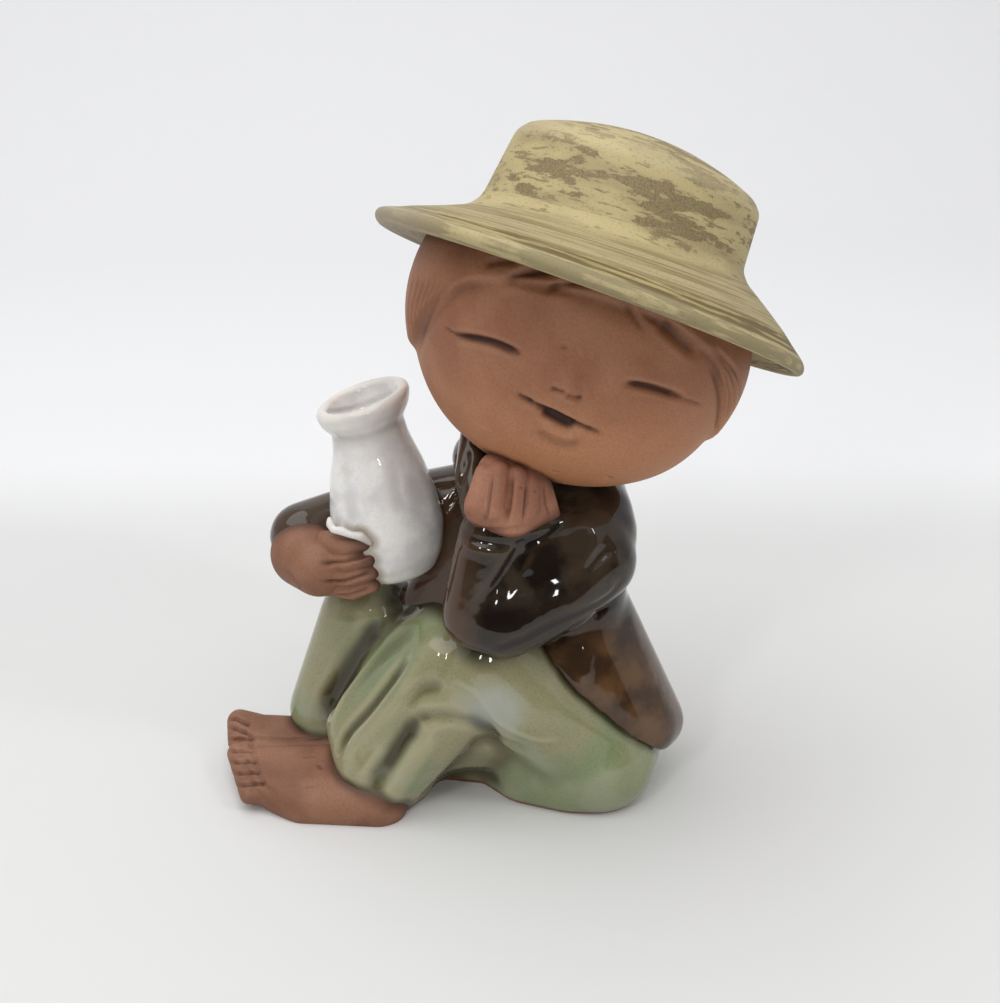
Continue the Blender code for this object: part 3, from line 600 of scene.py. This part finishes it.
FEET = {
    "near_foot": [(-36, -19, 4, 9), (-38, -6, 5, 9), (-58, -19, 3, 7), (-70, -15, 5, 5), (-75, -3, 6, 5)],
    "far_foot": [(-42, 7, 4, 8), (-42, 11, 4, 8), (-77, 6, 7, 5), (-77, 13, 8, 5)],
    "near_toes": [(-80.5, 0.5, 7.5, 3.3), (-74.5, -18, 5.0, 2.8), (-73, 0.5, 6.5, 3.3), (-68, -17, 4.4, 2.8)],
    "far_toes": [(-82, 15.5, 9.5, 4.0), (-81, 6.5, 8.0, 3.5), (-75, 14, 8.5, 4.0), (-74, 6, 7, 3.5)],
}
fist = joined("fist", [hull(name, balls) for name, balls in FIST.items()])
worked_clay(fist, grain=0.35, smoothing=14)
FIST_STROKES = {
    "finger_gap_1": ("photo", [(491, 475), (488.5, 495), (486, 516), (484, 523)], 1.3, 1.0),
    "finger_gap_2": ("photo", [(511, 478), (509.5, 498), (507, 516), (505.5, 524)], 1.3, 1.1),
    "finger_gap_3": ("photo", [(527.5, 485), (526.5, 503), (524.5, 520)], 1.3, 1.0),
    "finger_gap_4": ("photo", [(545, 486), (547, 502), (550, 514)], 1.3, 0.7),
    "fingertip_line": ("photo", [(468, 522), (484, 529), (506, 530), (528, 527)], 1.6, 0.5),
    "pit_1": ("photo", [(521, 487), (523, 488)], 0.7, 0.5),
    "pit_2": ("photo", [(535, 491), (536.5, 492)], 0.7, 0.5),
}
carved(fist, FIST_STROKES)
far_hand = joined("far_hand", [hull(name, balls) for name, balls in FAR_HAND.items()])
worked_clay(far_hand, grain=0.35, smoothing=14)
FAR_HAND_STROKES = {
    "finger_gap_1": ("photo", [(322, 564), (345, 561), (370, 553.5)], 1.3, 1.1),
    "finger_gap_2": ("photo", [(324, 582), (346, 581), (371, 572)], 1.3, 1.1),
    "finger_gap_3": ("photo", [(331, 596), (350, 595), (371, 588)], 1.2, 0.9),
    "knuckle_dip": ("photo", [(288, 571), (296, 581), (303, 589)], 1.2, 0.6),
}
carved(far_hand, FAR_HAND_STROKES)
feet = joined("feet", [hull(name, balls) for name, balls in FEET.items()])
worked_clay(feet, grain=0.45, smoothing=8)
FEET_STROKES = {
    "toe_gap_1": ("photo", [(229, 719), (238, 718), (251, 725)], 1.3, 1.1),
    "toe_gap_2": ("photo", [(227, 727), (238, 728), (253, 735)], 1.3, 1.1),
    "toe_gap_3": ("photo", [(226, 740), (240, 738), (254, 738)], 1.3, 1.1),
    "toe_gap_4": ("photo", [(227, 750.4), (240, 750), (253, 750)], 1.3, 1.1),
    "toe_gap_5": ("photo", [(229, 762), (243, 761), (257, 760)], 1.3, 1.1),
    "toe_gap_6": ("photo", [(232, 773), (246, 772), (260, 771)], 1.3, 1.1),
    "toe_gap_7": ("photo", [(236, 785), (249, 783.5), (265, 782)], 1.3, 1.1),
    "toe_roots": ("photo", [(253, 728), (253, 743), (255, 758),
                            (260, 773), (266, 786), (275, 793)], 1.8, 0.6),
    "foot_join_1": ("photo", [(253, 737), (268, 738), (284, 739.5), (300, 739)], 1.4, 0.6),
    "foot_join_2": ("photo", [(293, 737.5), (308, 738), (325, 736)], 1.2, 0.5),
    "scratch_1": ("photo", [(304, 757), (311, 755), (317, 755.5)], 0.9, 0.5),
    "instep_pit": ("photo", [(320, 764), (322, 767)], 1.1, 0.6),
    "scratch_2": ("photo", [(305, 786), (314, 785), (320, 784)], 0.9, 0.4),
}
carved(feet, FEET_STROKES)
trimmed(feet, mm(0, 0, 0), (0, 0, 1))

# %% [markdown]
# Glaze runs off ridges and gathers in hollows, and the shaders paint shade in hollows and between
# pieces, so they have to know where those are. Each mesh is relaxed in memory, and how far a point
# lies below its relaxed place says how hollow the spot is. A second reading says how near the next
# piece is, where glaze pools along the seam and painted shade darkens it.

# %% Reading the surface
SEAM_REACH = 8.0


def relaxed(points, edges, rounds):
    """The points after each has moved to the mean of its neighbours so many times."""
    count = len(points)
    links = np.bincount(edges.ravel(), minlength=count).astype(np.float32)[:, None]
    for _ in range(rounds):
        total = np.zeros_like(points)
        for axis in range(3):
            total[:, axis] = (np.bincount(edges[:, 0], points[edges[:, 1], axis], count)
                              + np.bincount(edges[:, 1], points[edges[:, 0], axis], count))
        points = 0.5 * points + 0.5 * total / np.maximum(links, 1)
    return points


def read_surface(obj, neighbours, rounds=(12, 90)):
    """How sunk each point is, close up and more widely, and how far the next piece is, in mm."""
    mesh = obj.data
    points, normals = read(mesh.vertices, "co"), read(mesh.vertex_normals, "vector")
    edges = np.empty(len(mesh.edges) * 2, np.int32)
    mesh.edges.foreach_get("vertices", edges)
    edges = edges.reshape(-1, 2)
    for name, count in zip(("crease", "hollow"), rounds):
        sunk = ((relaxed(points, edges, count) - points) * normals).sum(1) / MM
        write_reading(obj, name, sunk)
    tree = tree_of(*neighbours)
    gaps = [tree.find_nearest(Vector(p), SEAM_REACH * MM) for p in points]
    write_reading(obj, "seam", [SEAM_REACH if hit[3] is None else hit[3] / MM for hit in gaps])


PIECES = {"hat": hat, "head": head, "jug": jug, "trousers": trousers, "jacket": jacket,
          "fist": fist, "far_hand": far_hand, "feet": feet, "glaze_roll": glaze_roll}
for name, piece in PIECES.items():
    read_surface(piece, [other for other in PIECES.values() if other is not piece])
    for face in piece.data.polygons:
        face.use_smooth = True
    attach(piece, "root")
    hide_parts("figurine")
print("triangles in all:", sum(2 * len(p.data.polygons) for p in PIECES.values()))

# %% [markdown]
# Colours are written as sRGB hex values, as a paint chart gives them, and turned to the linear
# values that the shader works in. One function adds a node with its settings and its links. Every
# finish here is a base colour under thin coats, and a coat shows only where the surface's own
# readings, its place or some noise are in a given range.

# %% Shader tools
def colour(hex_value):
    """An sRGB hex colour as linear red, green, blue and alpha."""
    parts = [int(hex_value[i:i + 2], 16) / 255 for i in (1, 3, 5)]
    return [p / 12.92 if p <= 0.04045 else ((p + 0.055) / 1.055) ** 2.4 for p in parts] + [1.0]


def node(tree, kind, links=None, **settings):
    """A node, its settings by name, and a value or another node's output for each of its sockets."""
    made = tree.nodes.new(kind)
    for name, value in settings.items():
        setattr(made, name, value)
    for socket, value in (links or {}).items():
        if isinstance(value, bpy.types.NodeSocket):
            tree.links.new(value, made.inputs[socket])
        else:
            made.inputs[socket].default_value = value
    return made


def new_material(name, **shader_values):
    made = bpy.data.materials.new(name)
    made.use_nodes = True
    shader = made.node_tree.nodes["Principled BSDF"]
    for socket, value in shader_values.items():
        shader.inputs[socket.replace("_", " ")].default_value = value
    return made, made.node_tree, shader


def place(tree):
    """Where each point lies on the figurine: its x, y and z in metres."""
    where = node(tree, "ShaderNodeNewGeometry").outputs["Position"]
    return node(tree, "ShaderNodeSeparateXYZ", {0: where}).outputs


def cloud(tree, size_mm, detail=2.0):
    """Noise whose blotches are about this many millimetres across."""
    where = node(tree, "ShaderNodeNewGeometry").outputs["Position"]
    settings = {"Vector": where, "Scale": 1 / (size_mm * MM), "Detail": detail}
    return node(tree, "ShaderNodeTexNoise", settings).outputs["Fac"]


def coated(tree, base, *coats):
    """The base colour under its coats, in order.

    A coat is its amount, its colour and the ranges where it shows: nothing at a range's first
    value and all of it at the second. A range reads a node's output, or a mesh reading by name.
    """
    base = colour(base) if isinstance(base, str) else base
    for amount, tint, *ranges in coats:
        for value, none_at, full_at in ranges:
            if isinstance(value, str):
                value = node(tree, "ShaderNodeAttribute", attribute_name=value).outputs["Fac"]
            settings = {0: value, 1: none_at, 2: full_at, 4: amount}
            amount = node(tree, "ShaderNodeMapRange", settings, interpolation_type="SMOOTHSTEP").outputs[0]
        tint = colour(tint) if isinstance(tint, str) else tint
        base = node(tree, "ShaderNodeMix", {0: amount, 6: base, 7: tint}, data_type="RGBA").outputs[2]
    return base


def finished(made, tree, shader, base, relief, depth_mm):
    """The material with its colour and its fine relief joined to the shader."""
    tree.links.new(base, shader.inputs["Base Color"])
    bump = node(tree, "ShaderNodeBump", {"Height": relief, "Distance": depth_mm * MM, "Strength": 1.0})
    tree.links.new(bump.outputs["Normal"], shader.inputs["Normal"])
    return made


# %% [markdown]
# Terracotta fired without a glaze is matt and slightly open. Handling has polished the ridges a
# little. Creases, cuts and the clay next to another piece are painted darker: painted shade. The
# lower face is painted lighter and warmer than the brow under the brim: painted light.

# %% Bare terracotta
def terracotta(name, light, warm, speck_and_shade, painted_lower_face_light=None):
    made, tree, shader = new_material(name, Roughness=0.6, IOR=1.5)
    base = coated(tree, light, (1.0, warm, (cloud(tree, 16), 0.35, 0.65)))
    # painted light: the lower face lighter and warmer than the brow under the brim
    if painted_lower_face_light:
        base = coated(tree, base, (0.6, painted_lower_face_light, (place(tree)[2], 152 * MM, 112 * MM)))
    base = coated(tree, base,
                  (0.22, speck_and_shade, (cloud(tree, 0.7, 3), 0.35, 0.75)),
                  (0.12, "#c29a7c", ("crease", -0.03, -0.3)),
                  # painted shade: darker in creases, in cuts and along the next piece
                  (0.6, speck_and_shade, ("crease", 0.03, 0.5)),
                  (1.0, "#3a1d12", ("cut", 0.25, 2.2)),
                  (0.8, speck_and_shade, ("seam", 3.2, 0.2)))
    return finished(made, tree, shader, base, cloud(tree, 0.5, 2), 0.05)


head.data.materials.append(terracotta("unglazed_terracotta_face", "#a37052", "#956145", "#553020", "#c6885a"))
# The fist's clay is redder and lighter than the far hand's and the feet's: partly its own tone, partly
# painted light against the head's shadow.
fist.data.materials.append(terracotta("unglazed_terracotta_fist_lightened", "#b07c60", "#94624a", "#5a3322"))
bare = terracotta("unglazed_terracotta", "#94674e", "#80543d", "#4a2b1b")
for piece in (far_hand, feet):
    piece.data.materials.append(bare)

# %% [markdown]
# The hat is brushed with a pale yellow slip and then wiped, so the darker coat beneath shows in
# patches that run round the crown, and in fine streaks along the brim. The mesh carries the place
# along the brush's path, and noise stretched on it gives the patches and the streaks.

# %% Wiped slip on the hat
def brushed(tree, along_mm, across_mm, detail, roughness=0.55):
    """Noise in strips this long round the hat and this wide across the brush."""
    path = node(tree, "ShaderNodeAttribute", attribute_name="brushed").outputs["Vector"]
    size = (1 / along_mm, 1 / along_mm, 1 / across_mm)
    where = node(tree, "ShaderNodeVectorMath", {0: path, 1: size}, operation="MULTIPLY").outputs[0]
    settings = {"Vector": where, "Scale": 1.0, "Detail": detail, "Roughness": roughness}
    return node(tree, "ShaderNodeTexNoise", settings).outputs["Fac"]


def hat_slip():
    made, tree, shader = new_material("wiped_slip", Roughness=0.68, IOR=1.45)
    path = node(tree, "ShaderNodeAttribute", attribute_name="brushed").outputs["Vector"]
    across = node(tree, "ShaderNodeSeparateXYZ", {0: path}).outputs[2]
    under = coated(tree, "#8e7e5b", (1.0, "#746647", (cloud(tree, 0.5, 2), 0.4, 0.7)))
    brim = coated(tree, "#b0a079", (1.0, "#84754e", (brushed(tree, 34, 0.9, 4), 0.42, 0.62)))
    rim = coated(tree, "#64542d", (1.0, "#ab9a6a", (brushed(tree, 20, 1.6, 5, 0.6), 0.47, 0.58)))

    # More is wiped off in some places than in others, and less at the foot of the crown.
    wiped = brushed(tree, 15, 3.6, 9, 0.68)
    changes = ((cloud(tree, 30, 1), 0.3, 0.7, -0.06, 0.06), (across, 0, 9, -0.1, 0.0))
    for value, low, high, at_low, at_high in changes:
        settings = {0: value, 1: low, 2: high, 3: at_low, 4: at_high}
        more = node(tree, "ShaderNodeMapRange", settings, interpolation_type="SMOOTHSTEP").outputs[0]
        wiped = node(tree, "ShaderNodeMath", {0: wiped, 1: more}, operation="ADD").outputs[0]

    base = coated(tree, "#bdad7e",
                  (1.0, "#ab9b72", (brushed(tree, 30, 7, 2), 0.4, 0.6)),
                  (0.8, under, (brushed(tree, 10, 1.2, 4, 0.6), 0.585, 0.63)),
                  (0.95, under, (wiped, 0.497, 0.517)),
                  (0.85, brim, (across, 1.0, -4.0)),
                  (0.92, rim, (across, -14.5, -17.0)),
                  (0.3, "#d0c49c", ("crease", -0.04, -0.2)),
                  # greyer towards the left end: partly unpainted slip, partly painted shade of the brim's
                  # underside
                  (0.6, "#a4998a", (place(tree)[0], -10 * MM, -30 * MM)),
                  (0.4, "#75684a", (cloud(tree, 0.7, 2), 0.52, 0.78)))
    return finished(made, tree, shader, base, cloud(tree, 0.8, 3), 0.05)


hat.data.materials.append(hat_slip())

# %% [markdown]
# Glazes are glass: an even gloss of about 0.06 roughness and an index of 1.5. What changes is
# the thickness. Thick glaze in a hollow shows its full colour, and thin glaze on a ridge lets the
# clay through. The strokes cut into the clay say where the deepest hollows are. The darker colour
# in hollows, cuts and along seams is partly this pooled glaze and partly painted shade.

# %% Glazes
GLAZE_WAVE_MM, GLAZE_WAVE_DEPTH = 7, 0.12


def glaze(name, body, second, second_mm, speck, speck_share, thin, thin_share, gathered_and_shade, pooled_and_shade):
    """A glaze that thins on ridges, gathers in hollows and pools in cuts and along seams, partly as painted
    shade.
    """
    made, tree, shader = new_material(name, Roughness=0.06, IOR=1.5)
    base = coated(tree, body,
                  (1.0, second, (cloud(tree, second_mm, 3), 0.42, 0.62)),
                  (speck_share, speck, (cloud(tree, 0.6, 2), 0.45, 0.8)),
                  (thin_share, thin, ("crease", -0.01, -0.16)),
                  (0.8, gathered_and_shade, ("hollow", -0.1, 0.5)),
                  (0.95, pooled_and_shade, ("hollow", 0.35, 1.2)),
                  (0.9, pooled_and_shade, ("cut", 0.4, 2.6)),
                  (0.8, pooled_and_shade, ("seam", 3.0, 0.4)))
    return made, tree, shader, base


# %% [markdown]
# The trousers' pale green celadon breaks to beige where it is thin. A milky run of glaze crosses
# the thigh, and the foot ring at the table is bare. Under the arm and the jug the thigh is painted
# dark brown: partly glaze pooled along the seam, partly painted shade.

# %% Celadon on the trousers
RUN_AT = (-1.5, -28.0, 40.0)
made, tree, shader, base = glaze(
    "celadon_glaze", body="#96916f", second="#848f68", second_mm=34, speck="#5f6046", speck_share=0.4,
    thin="#aca485", thin_share=0.6, gathered_and_shade="#645f3f", pooled_and_shade="#3a3420")
here = node(tree, "ShaderNodeNewGeometry").outputs["Position"]
settings = {0: here, 1: [value * MM for value in RUN_AT]}
from_run = node(tree, "ShaderNodeVectorMath", settings, operation="DISTANCE").outputs["Value"]
x, y, z = place(tree)
base = coated(tree, base,
              (0.4, "#a3a68e", (cloud(tree, 22, 2), 0.56, 0.7)),
              (0.55, "#b4b9b6", (from_run, 12 * MM, 3 * MM)),
              # partly glaze pooled along the seam, partly painted shade under the arm and the jug
              (0.92, "#3b3428", ("seam", 8.0, 1.5), (z, 43 * MM, 53 * MM), (x, 4 * MM, -8 * MM)),
              (1.0, "#7d4f37", (z, 1.6 * MM, 0.9 * MM)))
trousers.data.materials.append(finished(made, tree, shader, base, cloud(tree, GLAZE_WAVE_MM, 1), 0.16))

# %% [markdown]
# The jacket's iron glaze is almost black where it is thick. On the skirt it breaks to mottled
# brown, and it is browner on the far forearm. On top of the near sleeve a grey-brown is painted:
# partly the glaze's own colour, partly a painted sheen of the bright ceiling.

# %% Iron brown on the jacket
made, tree, shader, base = glaze(
    "iron_brown_glaze", body="#17110e", second="#1f1612", second_mm=14, speck="#120d0b", speck_share=0.4,
    thin="#5c4932", thin_share=0.4, gathered_and_shade="#080707", pooled_and_shade="#080707")
x, y, z = place(tree)
mottle = coated(tree, "#3c2a1c", (1.0, "#66492f", (cloud(tree, 13, 5), 0.38, 0.66)))
base = coated(tree, base,
              (1.0, mottle, (z, 66 * MM, 50 * MM), (x, 0.0, 16 * MM)),
              (0.7, "#543c2b", (x, -3 * MM, -12 * MM)),
              # partly glaze colour, partly a painted sheen of the ceiling on top of the near sleeve
              (0.75, "#41362a", (z, 70 * MM, 82 * MM), (cloud(tree, 11, 3), 0.4, 0.62)))
relief = cloud(tree, GLAZE_WAVE_MM, 1)
jacket.data.materials.append(finished(made, tree, shader, base, relief, GLAZE_WAVE_DEPTH))

# %% [markdown]
# The jug's white glaze is opaque and thick, so it hides the clay, and its hollows are painted grey:
# partly thicker glaze, partly painted shade.

# %% White on the jug
made, tree, shader, base = glaze(
    "white_glaze", body="#f1efec", second="#dedcdc", second_mm=9, speck="#b9b0a4", speck_share=0.2,
    thin="#dcd4c8", thin_share=0.6, gathered_and_shade="#d3cec8", pooled_and_shade="#a39686")
white = finished(made, tree, shader, base, cloud(tree, 5, 1), GLAZE_WAVE_DEPTH)
for piece in (jug, glaze_roll):
    piece.data.materials.append(white)

# %% [markdown]
# A pale sweep stands behind the figurine. A wide soft panel overhead gives the even light, and
# small strips in front give the short bright glints. A curved flag of dark felt stands behind the
# camera, as a photographer sets one, so that the dark glaze has something dark to reflect above
# the white table. Like a lamp, it is seen only in reflections.

# %% Floor and light
FLOOR_HALF_WIDTH, FLOOR_FRONT = 2.0, -1.2
SWEEP_START, SWEEP_R, SWEEP_TOP = 0.62, 0.3, 1.6
FLAG_AWAY, FLAG_TOP, FLAG_HALF_ANGLE = 1.15, 1.05, 66


def strip_surface(name, lines):
    """A surface of one row of faces between two lines with as many points."""
    bm = bmesh.new()
    rows = [[bm.verts.new(point) for point in line] for line in lines]
    for a, b, c, d in zip(rows[0], rows[0][1:], rows[1][1:], rows[1]):
        bm.faces.new((a, b, c, d))
    return object_from(name, bm)


sweep = [(FLOOR_FRONT, 0.0)]
for angle in np.radians(range(0, 91, 6)):
    sweep.append((SWEEP_START + SWEEP_R * math.sin(angle), SWEEP_R - SWEEP_R * math.cos(angle)))
sweep.append((SWEEP_START + SWEEP_R, SWEEP_TOP))
sides = [[(x, y, z) for y, z in sweep] for x in (FLOOR_HALF_WIDTH, -FLOOR_HALF_WIDTH)]
floor = strip_surface("floor", sides)
for face in floor.data.polygons:
    face.use_smooth = True
paper, tree, shader = new_material("white_paper", Roughness=0.8)
# painted light: the sweep grows lighter between 16 and 26 cm behind the figurine
base = coated(tree, "#dededd", (1.0, "#efeff0", (place(tree)[1], 0.16, 0.26)))
tree.links.new(base, shader.inputs["Base Color"])
floor.data.materials.append(paper)

angles = np.radians(range(-FLAG_HALF_ANGLE, FLAG_HALF_ANGLE + 1, 6))
arc_line = [(FLAG_AWAY * math.sin(a), -FLAG_AWAY * math.cos(a)) for a in angles]
flag = strip_surface("flag", [[(x, y, z) for x, y in arc_line] for z in (0.0, FLAG_TOP)])
flag.visible_camera = False
felt, tree, shader = new_material("dark_felt", Roughness=0.95)
shader.inputs["Base Color"].default_value = colour("#45403c")
flag.data.materials.append(felt)


def lamp(name, at, size, watts):
    """A soft rectangular lamp that looks at the middle of the figurine."""
    light = bpy.data.lights.new(name, "AREA")
    light.shape = "RECTANGLE"
    light.size, light.size_y = size
    light.energy = watts
    made = bpy.data.objects.new(name, light)
    bpy.context.scene.collection.objects.link(made)
    made.location = at
    made.rotation_euler = (mm(0, 0, 90) - made.location).to_track_quat("-Z", "Y").to_euler()
    return made


lamp("ceiling_panel", (-0.25, -0.2, 1.25), (1.5, 1.4), 11.0)
lamp("front_strip", (0.02, -0.95, 0.62), (0.1, 0.2), 1.6)
lamp("left_strip", (-0.42, -0.85, 0.75), (0.06, 0.26), 1.4)
lamp("right_strip", (0.75, -0.45, 0.8), (0.06, 0.3), 1.5)

world = bpy.data.worlds.new("room")
bpy.context.scene.world = world
world.use_nodes = True
background = world.node_tree.nodes["Background"]
background.inputs["Color"].default_value = colour("#d9dadb")
background.inputs["Strength"].default_value = 0.75
bpy.context.scene.view_settings.view_transform = "Standard"
